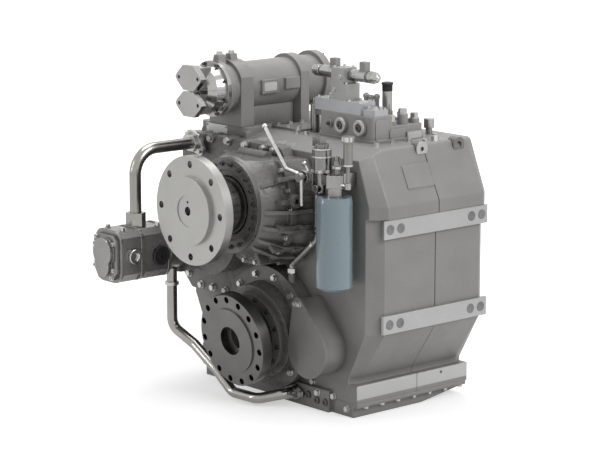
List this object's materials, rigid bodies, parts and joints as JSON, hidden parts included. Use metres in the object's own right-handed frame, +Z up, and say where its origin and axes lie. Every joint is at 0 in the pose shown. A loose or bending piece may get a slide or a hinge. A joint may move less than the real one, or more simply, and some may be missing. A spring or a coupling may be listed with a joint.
{
  "type": "marine gearbox",
  "caption": "Marine reversing gearbox with a down-angle output flange, clutch control block, oil cooler, gear pump, filter and side mounting rails.",
  "frame": {"origin": "centre of the input flange's bolting face", "axes": "+Z up, -Y out of the input flange towards the engine, +X towards the oil filter"},
  "size_m": [0.94, 0.94, 1.088],
  "materials": {
    "grey_paint": "satin paint over castings",
    "machined_steel": "turned and ground",
    "dark_steel": "oiled dark steel",
    "bright_pipe": "bright drawn pipe",
    "bolt_steel": "zinc plated",
    "filter_paint": "blue-grey gloss paint",
    "cast_aluminium": "as cast",
    "gear_steel": "case hardened and ground",
    "clutch_lining": "sintered lining",
    "seal_rubber": "black",
    "black_plastic": "moulded",
    "paper_element": "pleated filter paper",
    "cooler_brass": "drawn tubes"
  },
  "bodies": {
    "gearbox": {"front_casing": "grey_paint", "rear_casing": "grey_paint", "sump_pan": "grey_paint", "mounting_rails": "machined_steel", "front_housing": "grey_paint", "input_bearing_cover": "grey_paint", "casing_bolts": "bolt_steel", "output_housing": "grey_paint", "output_bearing_cover": "grey_paint", "side_cover": "grey_paint", "roller_bearings": "gear_steel", "shaft_seals": "seal_rubber", "rear_covers": "grey_paint", "pump_valve_case": "cast_aluminium", "pump_body": "cast_aluminium", "pump_cover": "cast_aluminium", "screw_plugs": "dark_steel", "idler_pin": "gear_steel", "suction_pipe": "bright_pipe", "pipe_fittings": "bright_pipe", "pressure_pipe": "bright_pipe", "lube_pipe": "bright_pipe", "cooler_shell": "grey_paint", "cooler_tubes": "cooler_brass", "cooler_front_cap": "cast_aluminium", "cooler_rear_cap": "grey_paint", "filter_canister": "filter_paint", "filter_element": "paper_element", "filter_head": "cast_aluminium", "pressure_sensors": "cast_aluminium", "changeover_valve": "cast_aluminium", "drain_valve": "dark_steel", "control_housing": "grey_paint", "valve_manifold": "cast_aluminium", "valve_block": "cast_aluminium", "solenoids": "black_plastic", "filler_neck_and_breather": "grey_paint", "lifting_eyes": "grey_paint"},
    "output_rotor": {"output_flange": "dark_steel", "output_shaft": "gear_steel", "output_gear": "gear_steel"},
    "input_rotor": {"input_flange": "machined_steel", "input_shaft": "gear_steel", "ahead_drum": "gear_steel", "ahead_steel_plates": "gear_steel", "pump_drive_gear": "gear_steel"},
    "reverse_rotor": {"reverse_shaft": "gear_steel", "reverse_drum": "gear_steel", "reverse_steel_plates": "gear_steel"},
    "ahead_pinion_set": {"ahead_pinion": "gear_steel", "ahead_lined_plates": "clutch_lining"},
    "reverse_pinion_set": {"reverse_pinion": "gear_steel", "reverse_lined_plates": "clutch_lining"},
    "ahead_piston": {"ahead_piston": "gear_steel"},
    "reverse_piston": {"reverse_piston": "gear_steel"},
    "idler": {"pump_idler_gear": "gear_steel"},
    "pump_rotor": {"pump_shaft": "gear_steel"},
    "changeover_lever": {"changeover_lever": "bright_pipe"},
    "drain_lever": {"drain_lever": "bright_pipe"},
    "filler_cap": {"filler_cap": "black_plastic"}
  },
  "joints": [
    {"name": "output_spin", "type": "hinge", "parent": "gearbox", "child": "output_rotor", "pos_m": [0, 0.1596, -0.434], "axis": [0, 0.9895, 0.1445], "continuous": true},
    {"name": "input_spin", "type": "hinge", "parent": "gearbox", "child": "input_rotor", "pos_m": [0, 0, 0], "axis": [0, 1, 0], "continuous": true},
    {"name": "reverse_spin", "type": "hinge", "parent": "gearbox", "child": "reverse_rotor", "pos_m": [0.27618, 0.5, -0.11653], "axis": [-0.1043, 0.9936, 0.044], "continuous": true},
    {"name": "ahead_pinion_spin", "type": "hinge", "parent": "gearbox", "child": "ahead_pinion_set", "pos_m": [0, 0.6, 0], "axis": [0, 1, 0], "continuous": true},
    {"name": "reverse_pinion_spin", "type": "hinge", "parent": "gearbox", "child": "reverse_pinion_set", "pos_m": [0.26568, 0.6, -0.11211], "axis": [-0.1043, 0.9936, 0.044], "continuous": true},
    {"name": "idler_spin", "type": "hinge", "parent": "gearbox", "child": "idler", "pos_m": [-0.18914, 0.28, -0.10431], "axis": [0, 1, 0], "continuous": true},
    {"name": "pump_spin", "type": "hinge", "parent": "gearbox", "child": "pump_rotor", "pos_m": [-0.331, 0.28, -0.18255], "axis": [0, 1, 0], "continuous": true},
    {"name": "ahead_clutch_travel", "type": "slide", "parent": "input_rotor", "child": "ahead_piston", "axis": [0, 1, 0], "range_m": [0, 0.003], "stiffness_N_per_m": 20000},
    {"name": "reverse_clutch_travel", "type": "slide", "parent": "reverse_rotor", "child": "reverse_piston", "axis": [-0.1043, 0.9936, 0.044], "range_m": [0, 0.003], "stiffness_N_per_m": 20000},
    {"name": "changeover_turn", "type": "hinge", "parent": "gearbox", "child": "changeover_lever", "pos_m": [0.255, 0.222, 0.112], "axis": [0, 1, 0], "range_deg": [0, 60]},
    {"name": "drain_valve_turn", "type": "hinge", "parent": "gearbox", "child": "drain_lever", "pos_m": [0.226, 0.296, 0.087], "axis": [0, 1, 0], "range_deg": [0, 40]},
    {"name": "filler_cap_lift", "type": "slide", "parent": "gearbox", "child": "filler_cap", "axis": [0, 0, 1], "range_m": [0, 0.06]}
  ],
  "couplings": [
    {"joint": "input_spin", "follows": "output_spin", "ratio": -1.8077},
    {"joint": "reverse_spin", "follows": "output_spin", "ratio": 1.8077},
    {"joint": "ahead_pinion_spin", "follows": "output_spin", "ratio": -1.8077},
    {"joint": "reverse_pinion_spin", "follows": "output_spin", "ratio": -1.8077},
    {"joint": "idler_spin", "follows": "output_spin", "ratio": 2.2596},
    {"joint": "pump_spin", "follows": "output_spin", "ratio": -3.2867}
  ]
}
